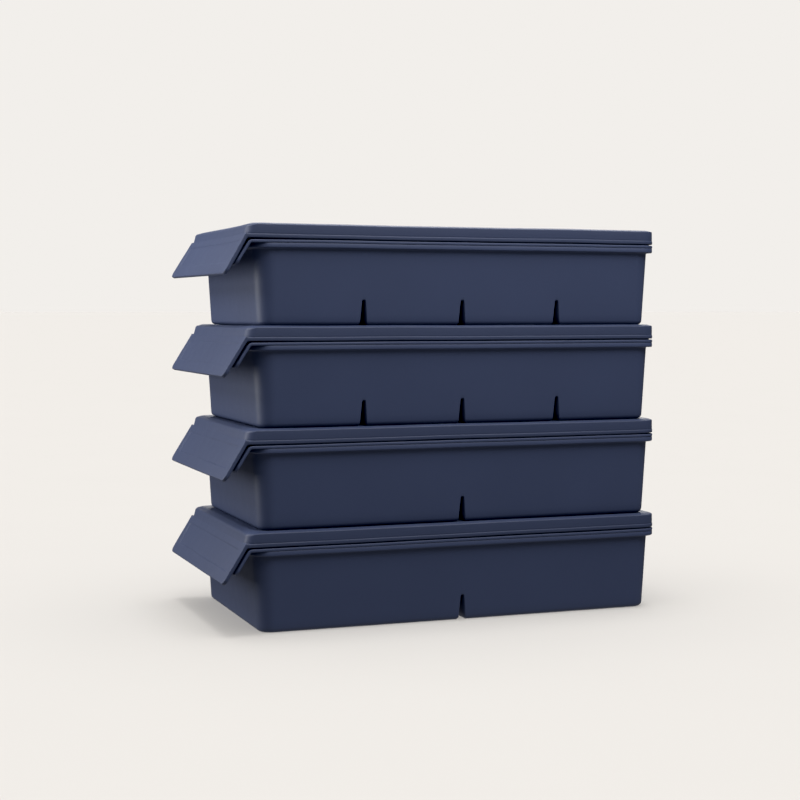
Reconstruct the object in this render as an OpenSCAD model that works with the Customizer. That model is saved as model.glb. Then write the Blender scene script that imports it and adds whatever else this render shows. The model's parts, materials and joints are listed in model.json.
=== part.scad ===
// A stack of four lidded compartment trays, moulded in soft silicone.
// Each tray has a steel loop moulded into its rim, and each lid lifts straight off.
// Millimetres, +Z up. The origin is the middle of the whole stack's box, at the bottom tray's foot.

/* [Stack] */
// Rise from one tray's foot to the next one's
level_h = 55; // [53:0.5:60]
// Compartments in each tray, from the bottom of the stack up
compartments = [2, 2, 4, 4]; // [1:6]
// Gap between two faces that rest on each other
seat_gap = 0.05; // [0.02:0.01:0.2]

/* [Rim] */
// Length of the rim and of the lid, without the tabs
rim_l = 244; // [220:1:280]
// Width of the rim, the lid and the tabs
rim_w = 129; // [110:1:150]
// Corner radius of the rim in plan
rim_r = 10; // [8:0.5:14]
// Height of the rim's flat top above the foot
rim_top = 46.9; // [46:0.1:48]
// Depth of the rim's band
rim_band = 4.3; // [3.8:0.1:5]
// How far the mouth's lip stands in from the rim's edge
lip_inset = 2; // [2:0.1:2.6]
// Radius of the steel loop's wire
wire_r = 1; // [0.6:0.1:1.2]

/* [Basin] */
// How far the foot stands in from the rim's edge
foot_inset = 5.3; // [4.5:0.1:6]
// Corner radius of the foot in plan
foot_r = 8; // [6:0.5:10]
// Outward lean of every wall, in millimetres per millimetre of height
draft = 0.068; // [0.05:0.002:0.08]
// Thickness of the walls and the floor
wall = 2.2; // [1.8:0.1:2.6]
// Rounding of the foot's lower edge
edge_r = 1.8; // [1:0.1:2.5]
// Rounding between a compartment's floor and its walls
floor_r = 4; // [2:0.5:5]

/* [Fold grooves] */
// Height of the groove under each divider
groove_h = 14.2; // [8:0.2:18]
// Groove width near the foot
groove_foot_w = 4.4; // [3:0.1:5]
// Groove width at its closed end
groove_end_w = 2.2; // [1.5:0.1:3]
// Bevel at the groove's mouth
groove_bevel = 0.9; // [0.4:0.1:1.2]

/* [Lid] */
// Depth of the lid's skirt, from its lower edge to the ridge
lid_band = 7.65; // [7:0.05:8]
// Thickness of the lid's flat panel
lid_panel = 2.2; // [1.6:0.1:2.6]
// Gap between the mouth's lip and the skirt
lip_gap = 0.35; // [0.25:0.05:0.5]
// Width of the raised ridge round the lid's top
ridge_w = 4.6; // [4:0.1:5]
// Height of the ridge above the panel that it surrounds
ridge_h = 0.55; // [0.4:0.05:0.8]
// How far the shoulder stands out past the rim at the tab end
shoulder_out = 4; // [3:0.1:5]
// Height of the crease where the tab leaves the shoulder, above the lid's lower edge
crease_up = 2.4; // [2:0.1:3]

/* [Tabs] */
// Slope of both tabs below level, in degrees
tab_slope = 58.2; // [50:0.2:64]
// Thickness of the lid's tab
lid_tab_t = 2; // [1.6:0.1:2.4]
// Length of the lid's tab down its slope
lid_tab_l = 24.6; // [18:0.2:28]
// Thickness of the tray's tab
tray_tab_t = 1.8; // [1.4:0.1:2]
// Length of the tray's tab down its slope
tray_tab_l = 14; // [10:0.2:16]
// Gap between the two tabs
tab_gap = 1.3; // [1:0.1:2]
// Corner radius at the tabs' tips
tip_r = 3.5; // [2:0.5:6]
// Depth of the label panel sunk into the lid's tab
label_depth = 0.3; // [0.1:0.1:0.5]

/* [Hidden] */
$fn = 64;

levels = len(compartments);
silicone = [0.19, 0.22, 0.33];
steel = [0.75, 0.76, 0.78];
arc_steps = 4;
overrun = 1;

rim_hl = rim_l / 2;
rim_hw = rim_w / 2;
rim_bottom = rim_top - rim_band;
foot_hl = rim_hl - foot_inset;
foot_hw = rim_hw - foot_inset;

// Heights of the lid above its own tray's foot
panel_top = level_h - seat_gap;
panel_under = panel_top - lid_panel;
lid_top = panel_top + ridge_h;
lid_bottom = lid_top - lid_band;
mouth_top = panel_under - seat_gap;

// Distances between the corner centres of the rim's and the foot's outlines
rim_span = [rim_l - 2 * rim_r, rim_w - 2 * rim_r];
foot_span = [2 * (foot_hl - foot_r), 2 * (foot_hw - foot_r)];

// The lid's tab is a sheet whose outer face starts at the shoulder's crease
crease = [-rim_hl - shoulder_out, lid_bottom + crease_up];
down_slope = [-cos(tab_slope), -sin(tab_slope)];
inward = [sin(tab_slope), -cos(tab_slope)];
lid_tip = crease + lid_tab_l * down_slope;
lid_inner_start = crease + lid_tab_t * inward;
lid_bend_x = lid_inner_start[0] - (lid_inner_start[1] - lid_bottom) / tan(tab_slope);

// The tray's tab runs parallel to it, one gap inside
tray_line = crease + (lid_tab_t + tab_gap) * inward;
tray_fold_x = tray_line[0] - (tray_line[1] - rim_top) / tan(tab_slope);
tray_bend_r = 3;
tray_bend_run = tray_bend_r * tan(tab_slope / 2);
tray_bend_x = tray_fold_x + tray_bend_run;

// The stack's box reaches from the lids' tab tips to the plain end
tab_reach = -lid_tip[0] - rim_hl;
centre_x = tab_reach / 2;

wire_inset = 2.3;
wire_z = rim_top - 2;

// Points on an arc from one angle to another, in equal steps.
function arc(centre, radius, from, to) =
    [for (i = [0 : arc_steps])
        let (a = from + (to - from) * i / arc_steps)
        centre + radius * [cos(a), sin(a)]];

// Nearest hundredth, so that pieces drawn from both sides of a seam meet exactly.
function hundredth(value) = round(100 * value) / 100;

// Mid-lines of the grooves and dividers: equal parts of the foot's length.
function divider_at(count, i) = foot_hl * (2 * i / count - 1);

// Carries an outline round a rounded rectangle. The outline's x is the distance
// outward from the corner centres, and its y is the height.
module carried_round(span) {
    for (turn = [0 : 3]) {
        sx = turn == 0 || turn == 3 ? 1 : -1;
        sy = turn < 2 ? 1 : -1;
        translate([sx * span[0] / 2, sy * span[1] / 2, 0])
            rotate([0, 0, 90 * turn])
            rotate_extrude(angle = 90)
            children();
    }
    for (turn = [0 : 3]) {
        across = turn % 2 == 0 ? span[0] : span[1];
        along = turn % 2 == 0 ? span[1] : span[0];
        rotate([0, 0, 90 * turn])
            translate([across / 2, along / 2, 0])
            rotate([90, 0, 0])
            linear_extrude(along)
            children();
    }
}

// A solid with that edge all round, filled in between two heights.
module rounded_block(span, low, high) {
    carried_round(span) children();
    translate([-span[0] / 2, -span[1] / 2, low])
        cube([span[0], span[1], high - low]);
}

// A plain upright block with rounded corners in plan.
module upright_block(span, radius, low, high) {
    rounded_block(span, low, high)
        translate([0, low])
        square([radius, high - low]);
}

// Extrudes an X-Z outline across the full width of the rim.
module across_width(outline) {
    translate([0, rim_hw, 0])
        rotate([90, 0, 0])
        linear_extrude(rim_w)
        polygon(outline);
}

// What is cut away to round the two corners at a sloping sheet's tip.
module tip_cutters(tip, thickness) {
    for (side = [-1, 1])
        translate([tip[0], side * rim_hw, tip[1]])
            rotate([0, 90 - tab_slope, 0])
            mirror([0, side > 0 ? 1 : 0, 0])
            difference() {
                translate([-thickness - overrun, -overrun, -overrun])
                    cube([thickness + 2 * overrun, tip_r + overrun, tip_r + overrun]);
                translate([-thickness - 2 * overrun, tip_r, tip_r])
                    rotate([0, 90, 0])
                    cylinder(r = tip_r, h = thickness + 4 * overrun);
            }
}

// The tray's outside below the rim: a rounded foot and walls that lean outward.
module basin() {
    lean = draft * rim_top;
    rounded_block(foot_span, 0, rim_top)
        polygon(concat(
            [[0, 0]],
            arc([foot_r - edge_r, edge_r], edge_r, -90, 0),
            [[foot_r + lean, rim_top], [0, rim_top]]
        ));
}

// The rim's band, with rounded lower and upper outer edges.
module rim_band_loop() {
    low_r = 1.9;
    top_r = 0.5;
    inner = rim_r - 4;
    carried_round(rim_span)
        polygon(concat(
            [[inner, rim_bottom]],
            arc([rim_r - low_r, rim_bottom + low_r], low_r, -90, 0),
            arc([rim_r - top_r, rim_top - top_r], top_r, 0, 90),
            [[inner, rim_top]]
        ));
}

// The flat sheet at the tab end that bends down into the tray's tab.
module tray_tab() {
    bend = [tray_bend_x, rim_top - tray_bend_r];
    outer_end = [tray_bend_x, rim_top - tray_bend_r]
        + tray_bend_r * [-sin(tab_slope), cos(tab_slope)]
        + tray_tab_l * down_slope;
    difference() {
        across_width(concat(
            [[-rim_hl + 3, rim_top]],
            arc(bend, tray_bend_r, 90, 90 + tab_slope),
            [outer_end, outer_end + tray_tab_t * inward],
            arc(bend, tray_bend_r - tray_tab_t, 90 + tab_slope, 90),
            [[-rim_hl + 3, rim_top - tray_tab_t]]
        ));
        tip_cutters(outer_end, tray_tab_t);
    }
}

// One compartment's hollow, from its floor out through the mouth.
module pocket(from_x, to_x) {
    floor_corner_r = foot_r - wall;
    half_w = foot_hw + draft * wall - wall;
    span = [
        hundredth(to_x - from_x - 2 * floor_corner_r),
        hundredth(2 * (half_w - floor_corner_r)),
    ];
    open_z = mouth_top + overrun;
    translate([(from_x + to_x) / 2, 0, 0])
        rounded_block(span, wall, open_z)
        polygon(concat(
            [[0, wall]],
            arc([floor_corner_r - floor_r, wall + floor_r], floor_r, -90, 0),
            [[floor_corner_r + draft * (open_z - wall), open_z], [0, open_z]]
        ));
}

// All the hollows of a tray.
module pockets(count) {
    end_x = foot_hl + draft * wall - wall;
    divider_half = groove_foot_w / 2 + wall;
    for (i = [0 : count - 1]) {
        from_x = i == 0 ? -end_x : divider_at(count, i) + divider_half;
        to_x = i == count - 1 ? end_x : divider_at(count, i + 1) - divider_half;
        pocket(from_x, to_x);
    }
}

// The narrow groove under each divider, open at the foot and on both long sides.
module grooves(count) {
    if (count > 1)
        for (i = [1 : count - 1])
            translate([divider_at(count, i), 0, 0])
                across_width([
                    [-groove_foot_w / 2 - groove_bevel, -overrun],
                    [groove_foot_w / 2 + groove_bevel, -overrun],
                    [groove_foot_w / 2 + groove_bevel, 0],
                    [groove_foot_w / 2, groove_bevel * 1.5],
                    [groove_end_w / 2, groove_h - groove_end_w / 3],
                    [groove_end_w / 4, groove_h],
                    [-groove_end_w / 4, groove_h],
                    [-groove_end_w / 2, groove_h - groove_end_w / 3],
                    [-groove_foot_w / 2, groove_bevel * 1.5],
                    [-groove_foot_w / 2 - groove_bevel, 0],
                ]);
}

// The closed loop that the wire follows, in the thickest part of the rim's band.
module wire_loop() {
    carried_round(rim_span)
        translate([rim_r - wire_inset, wire_z])
        circle(r = wire_r);
}

// Places a level's pieces in the stack.
module at_level(k) {
    translate([centre_x, 0, (k - 1) * level_h])
        children();
}

// Tray: basin, rim, lip and tab in one moulding.
module tray_body(k) {
    count = compartments[k - 1];
    color(silicone)
        at_level(k)
        difference() {
            union() {
                basin();
                rim_band_loop();
                upright_block(rim_span, rim_r - lip_inset, rim_top, mouth_top);
                tray_tab();
            }
            pockets(count);
            grooves(count);
        }
}

// Steel loop cast into the rim, so the silicone closes round it on purpose.
module tray_rim_wire(k) {
    color(steel)
        at_level(k)
        wire_loop();
}

// The lid's shoulder at the tab end, over the sheet that carries the tab.
module lid_shoulder() {
    round_r = 2.4;
    corner_r = 6;
    end_x = -rim_hl - shoulder_out;
    root_x = -rim_hl + rim_r + overrun;
    difference() {
        across_width(concat(
            [[root_x, lid_top]],
            arc([end_x + 0.8 + round_r, lid_top - round_r], round_r, 90, 170),
            [crease, [lid_bend_x, lid_bottom], [root_x, lid_bottom]]
        ));
        for (side = [-1, 1])
            mirror([0, side > 0 ? 1 : 0, 0])
                translate([end_x, -rim_hw, crease[1]])
                difference() {
                    translate([-overrun, -overrun, 0])
                        cube([corner_r + overrun, corner_r + overrun, lid_band]);
                    translate([corner_r, corner_r, -overrun])
                        cylinder(r = corner_r, h = lid_band + 2 * overrun);
                }
    }
}

// The lid's sloping tab with its sunk label panel.
module lid_tab() {
    side_margin = 7;
    top_margin = 4.3;
    tip_margin = 6.9;
    label_l = lid_tab_l - top_margin - tip_margin;
    difference() {
        across_width([
            crease,
            lid_tip,
            lid_tip + lid_tab_t * inward,
            [lid_bend_x, lid_bottom],
        ]);
        tip_cutters(lid_tip, lid_tab_t);
        translate([lid_tip[0], 0, lid_tip[1]])
            rotate([0, 90 - tab_slope, 0])
            translate([-overrun, -rim_hw + side_margin, tip_margin])
            cube([overrun + label_depth, rim_w - 2 * side_margin, label_l]);
    }
}

// Lid: panel, ridge, skirt, shoulder and tab in one moulding.
module lid(k) {
    lip_space = rim_r - lip_inset + lip_gap;
    color(silicone)
        at_level(k)
        difference() {
            union() {
                upright_block(rim_span, rim_r, lid_bottom, lid_top);
                lid_shoulder();
                lid_tab();
            }
            upright_block(rim_span, lip_space, lid_bottom - overrun, panel_under);
            upright_block(rim_span, rim_r - ridge_w, panel_top, lid_top + overrun);
        }
}

for (k = [1 : levels]) {
    tray_body(k);
    tray_rim_wire(k);
    lid(k);
}
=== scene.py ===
"""Looks of a stack of lidded compartment trays, moulded in soft satin silicone.

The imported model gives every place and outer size. Each tray and each lid is one closed skin:
rows of points carried round the piece, with a grid that closes each end.
"""
import json
import logging
import math
from dataclasses import dataclass
from enum import Enum

import bpy
import numpy as np
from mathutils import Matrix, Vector


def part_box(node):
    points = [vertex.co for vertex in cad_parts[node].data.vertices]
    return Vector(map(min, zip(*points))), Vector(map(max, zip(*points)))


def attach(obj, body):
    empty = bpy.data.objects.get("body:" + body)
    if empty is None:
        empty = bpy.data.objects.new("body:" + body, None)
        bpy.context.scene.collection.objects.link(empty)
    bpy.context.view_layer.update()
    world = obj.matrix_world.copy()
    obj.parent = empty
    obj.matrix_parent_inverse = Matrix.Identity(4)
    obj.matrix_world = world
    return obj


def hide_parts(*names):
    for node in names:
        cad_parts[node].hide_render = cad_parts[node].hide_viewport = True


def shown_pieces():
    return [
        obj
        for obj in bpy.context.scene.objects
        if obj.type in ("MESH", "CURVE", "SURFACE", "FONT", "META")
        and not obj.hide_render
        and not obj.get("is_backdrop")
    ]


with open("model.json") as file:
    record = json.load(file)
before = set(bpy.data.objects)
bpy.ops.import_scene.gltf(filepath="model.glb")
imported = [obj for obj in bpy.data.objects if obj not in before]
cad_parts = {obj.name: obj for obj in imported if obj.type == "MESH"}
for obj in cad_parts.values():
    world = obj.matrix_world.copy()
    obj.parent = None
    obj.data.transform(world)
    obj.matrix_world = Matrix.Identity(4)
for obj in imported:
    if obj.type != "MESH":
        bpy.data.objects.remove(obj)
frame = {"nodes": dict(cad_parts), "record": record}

Array = np.ndarray
MM = 0.001
TINY = 1e-6
FAR_X = 1e6
LOG = logging.getLogger("tray_stack")


# ---------------------------------------------------------------- sizes


def smooth(value: Array | float) -> Array:
    """Eases from 0 to 1 with level ends: 3v^2 - 2v^3 on the clipped value."""
    held = np.clip(value, 0.0, 1.0)
    return held * held * (3.0 - 2.0 * held)


def ramp(value: Array, start: float, length: float) -> Array:
    """Eases from 0 at start to 1 at start + length."""
    return smooth((value - start) / length)


def blend(start: Array | float, end: Array | float, share: Array | float) -> Array | float:
    """The straight mix of two values: start + (end - start) * share."""
    return start + (end - start) * share


@dataclass(frozen=True)
class StackSizes:
    """Sizes in millimetres that every tray and lid shares, in one tray's own frame.

    The tray's own frame has its origin in the middle of the foot. The outer sizes come
    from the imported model, and the rest are the moulding's own small sizes.
    """

    centre_x: float
    rim_half_l: float
    rim_half_w: float
    rim_top: float
    mouth_top: float
    lid_top: float
    lid_bottom: float
    rim_r: float = 10.0
    rim_band: float = 4.3
    foot_inset: float = 5.3
    foot_r: float = 8.0
    rim_over_wire: float = 1.5
    lip_inset: float = 2.0
    lid_h: float = 8.4
    draft: float = 0.068
    wall: float = 2.2
    tab_slope: float = math.radians(58.2)
    tab_tip_r: float = 3.5
    crease_out: float = 4.0
    crease_up: float = 2.4

    @classmethod
    def from_frame(cls) -> "StackSizes":
        """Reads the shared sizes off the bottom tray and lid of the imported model.

        Returns:
            The sizes, in millimetres.
        """
        wire_low, wire_high = (np.array(c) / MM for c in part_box("tray_1_rim_wire"))
        tray_low, tray_high = (np.array(c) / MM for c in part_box("tray_1_body"))
        lid_high = np.array(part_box("lid_1")[1]) / MM
        centre_x = float(wire_low[0] + wire_high[0]) / 2
        foot = float(tray_low[2])
        wire_middle = float(wire_low[2] + wire_high[2]) / 2 - foot
        lid_top = float(lid_high[2]) - foot
        return cls(
            centre_x=centre_x,
            rim_half_l=float(lid_high[0]) - centre_x,
            rim_half_w=float(lid_high[1]),
            rim_top=wire_middle + cls.rim_over_wire,
            mouth_top=float(tray_high[2]) - foot,
            lid_top=lid_top,
            lid_bottom=lid_top - cls.lid_h,
        )

    @property
    def foot_half_l(self) -> float:
        """Half the foot's length."""
        return self.rim_half_l - self.foot_inset

    @property
    def foot_half_w(self) -> float:
        """Half the foot's width."""
        return self.rim_half_w - self.foot_inset

    @property
    def crease(self) -> Array:
        """X and Z of the crease between a lid's shoulder and its tab."""
        return np.array([-self.rim_half_l - self.crease_out, self.lid_bottom + self.crease_up])

    @property
    def down(self) -> Array:
        """Unit X-Z direction down a tab."""
        return np.array([-math.cos(self.tab_slope), -math.sin(self.tab_slope)])

    @property
    def inward(self) -> Array:
        """Unit X-Z direction through a tab, from its outer to its inner face."""
        return np.array([math.sin(self.tab_slope), -math.cos(self.tab_slope)])


# ---------------------------------------------------------------- outlines


class Stations:
    """The places round a rounded rectangle at which every outline of a piece is sampled.

    They run anticlockwise seen from above: the front side, then a corner, the plain end,
    a corner, the back side, a corner, the tab end and the last corner.
    """

    def __init__(
        self, along: Array, across: Array, corner_steps: int, hold_x: float, hold_y: float
    ) -> None:
        """Lays the stations out on a base rectangle of corner centres.

        Args:
            along: X of the stations on the long sides, rising, out to the corner centres.
            across: Y of the stations on the ends, rising, out to the corner centres.
            corner_steps: Stations inside each corner's quarter turn.
            hold_x: Stations nearer the middle than this keep their X in every wider outline.
            hold_y: Stations nearer the middle than this keep their Y in every wider outline.
        """
        self.along, self.across = along, across
        self.hold_x, self.hold_y = hold_x, hold_y
        self.base_x, self.base_y = float(along[-1]), float(across[-1])
        n, m, k = len(along), len(across), corner_steps
        quarter = np.arange(1, k + 1) / (k + 1) * 90.0
        self.quarter = quarter
        x = [along, np.full(k, along[-1]), np.full(m, along[-1]), np.full(k, along[-1])]
        x += [along[::-1], np.full(k, along[0]), np.full(m, along[0]), np.full(k, along[0])]
        y = [np.full(n, across[0]), np.full(k, across[0]), across, np.full(k, across[-1])]
        y += [np.full(n, across[-1]), np.full(k, across[-1]), across[::-1], np.full(k, across[0])]
        turn = [np.full(n, -90.0), quarter - 90.0, np.full(m, 0.0), quarter]
        turn += [np.full(n, 90.0), quarter + 90.0, np.full(m, 180.0), quarter + 180.0]
        self.x, self.y = np.concatenate(x), np.concatenate(y)
        angle = np.radians(np.concatenate(turn))
        self.out = np.stack([np.cos(angle), np.sin(angle)], axis=1)
        self.count = len(self.x)
        lengths = np.array([n, k, m, k, n, k, m, k])
        ends = np.cumsum(lengths)
        part = [np.arange(a, b) for a, b in zip(ends - lengths, ends)]
        self.front, self.corner_fr, self.right, self.corner_br = part[:4]
        self.back, self.corner_bl, self.left, self.corner_fl = part[4:]
        self.back, self.left = self.back[::-1], self.left[::-1]
        self.corner_bl, self.corner_br = self.corner_bl[::-1], self.corner_br[::-1]

    @property
    def rows(self) -> Array:
        """Shares from front to back at which a closing grid has its rows."""
        return (self.across - self.across[0]) / (self.across[-1] - self.across[0])

    @staticmethod
    def _stretch(value: Array, base: float, hold: float, target: Array) -> Array:
        """Moves stations past the held middle so that the base value lands on the target.

        A wider outline adds (target - base) in proportion past the hold, and a narrower
        one scales everything by target / base.
        """
        past = np.clip((value - hold) / (base - hold), 0.0, 1.0)
        return np.where(target >= base, value + past * (target - base), value * target / base)

    def outline(
        self,
        left: Array | float,
        right: Array | float,
        half_w: Array | float,
        left_r: Array | float,
        right_r: Array | float,
    ) -> tuple[Array, Array]:
        """A rounded rectangle's points: corner centre plus radius times outward direction.

        Args:
            left: X of the tab end.
            right: X of the plain end.
            half_w: Half the width.
            left_r: Radius of the two corners at the tab end.
            right_r: Radius of the two corners at the plain end.

        Returns:
            X and Y at every station.
        """
        radius = np.where(self.x < 0, left_r, right_r)
        reach = np.where(self.x < 0, -(np.asarray(left) + left_r), np.asarray(right) - right_r)
        x = np.sign(self.x) * self._stretch(np.abs(self.x), self.base_x, self.hold_x, reach)
        deep = np.asarray(half_w) - radius
        y = np.sign(self.y) * self._stretch(np.abs(self.y), self.base_y, self.hold_y, deep)
        return x + radius * self.out[:, 0], y + radius * self.out[:, 1]


class Skin:
    """One closed surface under construction, in millimetres in a tray's own frame."""

    def __init__(self, stations: Stations) -> None:
        """Starts with no points and no faces.

        Args:
            stations: The places round the piece that its rows follow.
        """
        self.stations = stations
        self._points: list[Array] = []
        self._quads: list[Array] = []
        self._count = 0

    def add(self, x: Array, y: Array, z: Array | float) -> Array:
        """Adds points.

        Args:
            x: X of the points.
            y: Y of the points.
            z: Z of the points, or one height for all.

        Returns:
            The numbers of the points.
        """
        points = np.stack(np.broadcast_arrays(x, y, z), axis=-1).reshape(-1, 3).astype(float)
        self._points.append(points)
        numbers = np.arange(self._count, self._count + len(points))
        self._count += len(points)
        return numbers

    def strip(self, first: Array, second: Array) -> None:
        """Joins two closed rows of equal length with one quad per step."""
        quads = [first, np.roll(first, -1), np.roll(second, -1), second]
        self._quads.append(np.stack(quads, axis=1))

    def stack(self, rows: list[Array]) -> None:
        """Joins each row to the next one."""
        for first, second in zip(rows, rows[1:]):
            self.strip(first, second)

    def points_at(self, numbers: Array) -> Array:
        """The coordinates of some points."""
        return np.concatenate(self._points)[numbers]

    def close(self, near: Array, far: Array, left: Array, right: Array, rows: Array, up: bool) -> None:
        """Closes a loop with a grid of straight lines from its near to its far side.

        A point inside is near + (far - near) * row share, so any profile that the two
        sides share, such as a groove's, runs straight across between them.

        Args:
            near: Numbers of the near side's points, from left to right.
            far: Numbers of the far side's points, from left to right.
            left: Numbers up the left side, without its ends.
            right: Numbers up the right side, without its ends.
            rows: Shares from near to far of all the rows, with both ends.
            up: True if the grid faces upward.
        """
        a, b = self.points_at(near[1:-1]), self.points_at(far[1:-1])
        inner = a + (b - a) * rows[1:-1, None, None]
        numbers = self.add(inner[..., 0], inner[..., 1], inner[..., 2])
        grid = np.empty((len(rows), len(near)), dtype=int)
        grid[0], grid[-1] = near, far
        grid[1:-1, 0], grid[1:-1, -1] = left, right
        grid[1:-1, 1:-1] = numbers.reshape(len(rows) - 2, -1)
        quads = np.stack([grid[:-1, :-1], grid[:-1, 1:], grid[1:, 1:], grid[1:, :-1]], axis=-1)
        quads = quads.reshape(-1, 4)
        self._quads.append(quads if up else quads[:, ::-1])

    def close_row(self, row: Array, up: bool) -> None:
        """Closes a whole row that follows the stations.

        Args:
            row: The row's point numbers.
            up: True if the grid faces upward.
        """
        s = self.stations
        near = [s.left[:1], s.corner_fl, s.front, s.corner_fr, s.right[:1]]
        far = [s.left[-1:], s.corner_bl, s.back, s.corner_br, s.right[-1:]]
        near, far = row[np.concatenate(near)], row[np.concatenate(far)]
        self.close(near, far, row[s.left[1:-1]], row[s.right[1:-1]], s.rows, up)

    def make(self, name: str, place: Array, slack: "Slack | None" = None) -> bpy.types.Object:
        """Makes the mesh object, in metres in the model's frame.

        Args:
            name: The piece's name.
            place: Where the tray's own origin goes, in millimetres.
            slack: How the soft piece differs from its straight shape.

        Returns:
            The new object, linked to the scene.
        """
        points = np.concatenate(self._points)
        if slack is not None:
            points = slack.bend(points)
        points = (points + place) * MM
        quads = np.concatenate(self._quads).astype(np.int32)
        mesh = bpy.data.meshes.new(name)
        mesh.vertices.add(len(points))
        mesh.vertices.foreach_set("co", points.ravel())
        mesh.loops.add(quads.size)
        mesh.loops.foreach_set("vertex_index", quads.ravel())
        mesh.polygons.add(len(quads))
        mesh.polygons.foreach_set("loop_start", np.arange(0, quads.size, 4, dtype=np.int32))
        mesh.polygons.foreach_set("use_smooth", np.ones(len(quads), dtype=bool))
        mesh.update(calc_edges=True)
        mesh.validate()
        piece = bpy.data.objects.new(name, mesh)
        bpy.context.scene.collection.objects.link(piece)
        return piece


@dataclass(frozen=True)
class Slack:
    """How one soft moulding lies away from its straight shape, in millimetres.

    The edge waves are sines along X and Y less one, so they only ever lower, and they fade
    out towards the middle, so the panel and the foot stay flat. One corner can lift, and
    the tab can droop and twist.
    """

    wave: float = 0.0
    phase: float = 0.0
    corner_lift: float = 0.0
    tab_swing: float = 0.0
    tab_twist: float = 0.0
    tab_root: float = -124.0
    tab_z: float = 50.0
    tab_half_w: float = 60.0
    root_run: float = 3.0
    edge_x: float = 96.0
    edge_run_x: float = 16.0
    edge_y: float = 50.0
    edge_run_y: float = 10.0
    corner_x: float = 82.0
    corner_run_x: float = 40.0
    corner_y: float = 34.0
    corner_run_y: float = 28.0
    low_z: float = 40.0
    low_run: float = 3.0
    long_wave: float = 23.0
    short_wave: float = 11.0
    short_share: float = 0.6
    cross_wave: float = 17.0
    cross_share: float = 0.7

    def bend(self, points: Array) -> Array:
        """Applies the slack.

        The ripple is sin(x / long) + share * sin(x / short) + share * sin(y / cross), and it
        is divided by its greatest value. The lift at the near tab corner is corner_lift times
        an eased ramp along X times an eased ramp along Y. Both fade to nothing at low_z. The tab
        turns about its root by tab_swing + tab_twist * y / tab_half_w, in degrees.

        Args:
            points: N by 3 points of the straight shape.

        Returns:
            The moved points.
        """
        out = points.copy()
        x, y, z = points.T
        upper = ramp(z, self.low_z, self.low_run)
        edge_x = ramp(np.abs(x), self.edge_x, self.edge_run_x)
        edge_y = ramp(np.abs(y), self.edge_y, self.edge_run_y)
        ripple = np.sin(x / self.long_wave + self.phase)
        ripple = ripple + self.short_share * np.sin(x / self.short_wave - 2.0 * self.phase)
        ripple = ripple + self.cross_share * np.sin(y / self.cross_wave + self.phase)
        greatest = 1.0 + self.short_share + self.cross_share
        out[:, 2] += self.wave * (np.maximum(edge_x, edge_y) * upper) * (ripple / greatest - 1.0)
        corner = ramp(-x, self.corner_x, self.corner_run_x) * ramp(-y, self.corner_y, self.corner_run_y)
        out[:, 2] += self.corner_lift * corner * upper
        share = smooth(np.clip(self.tab_root - x, 0.0, None) / self.root_run)
        angle = np.radians(self.tab_swing + self.tab_twist * y / self.tab_half_w) * share
        dx, dz = x - self.tab_root, z - self.tab_z
        turned_x = dx * np.cos(angle) - dz * np.sin(angle)
        turned_z = dx * np.sin(angle) + dz * np.cos(angle)
        out[:, 0] += np.where(share > 0, turned_x - dx, 0.0)
        out[:, 2] += np.where(share > 0, turned_z - dz, 0.0)
        return out


@dataclass(frozen=True)
class SheetBend:
    """A flat sheet that turns down round a bend into a straight sloping tab."""

    start_x: float
    top_z: float
    radius: float
    slope: float

    @property
    def run(self) -> float:
        """Length of the bend along the outer face."""
        return self.radius * self.slope

    def place(self, flat_x: Array, depth: Array | float) -> tuple[Array, Array]:
        """Folds the flat sheet: an arc about the bend's centre, then a straight slope.

        Args:
            flat_x: X that a point would have if the sheet were still flat.
            depth: How far the point lies under the outer face.

        Returns:
            X and Z of the folded points.
        """
        past = np.clip(self.start_x - flat_x, 0.0, None)
        turn = np.minimum(past, self.run) / self.radius
        rest = np.clip(past - self.run, 0.0, None)
        arm = self.radius - np.asarray(depth)
        x = self.start_x - arm * np.sin(turn) - rest * math.cos(self.slope)
        z = self.top_z - self.radius + arm * np.cos(turn) - rest * math.sin(self.slope)
        x = np.where(flat_x > self.start_x, flat_x, x)
        z = np.where(flat_x > self.start_x, self.top_z - depth, z)
        return x, z


def rounding(radius: float, steps: int) -> list[tuple[float, float]]:
    """Quarter round as (in, rise) pairs: r(1 - sin a) inward and r(1 - cos a) up."""
    turns = np.linspace(0.0, math.pi / 2, steps)
    return [(radius * (1 - math.sin(a)), radius * (1 - math.cos(a))) for a in turns]


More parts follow.
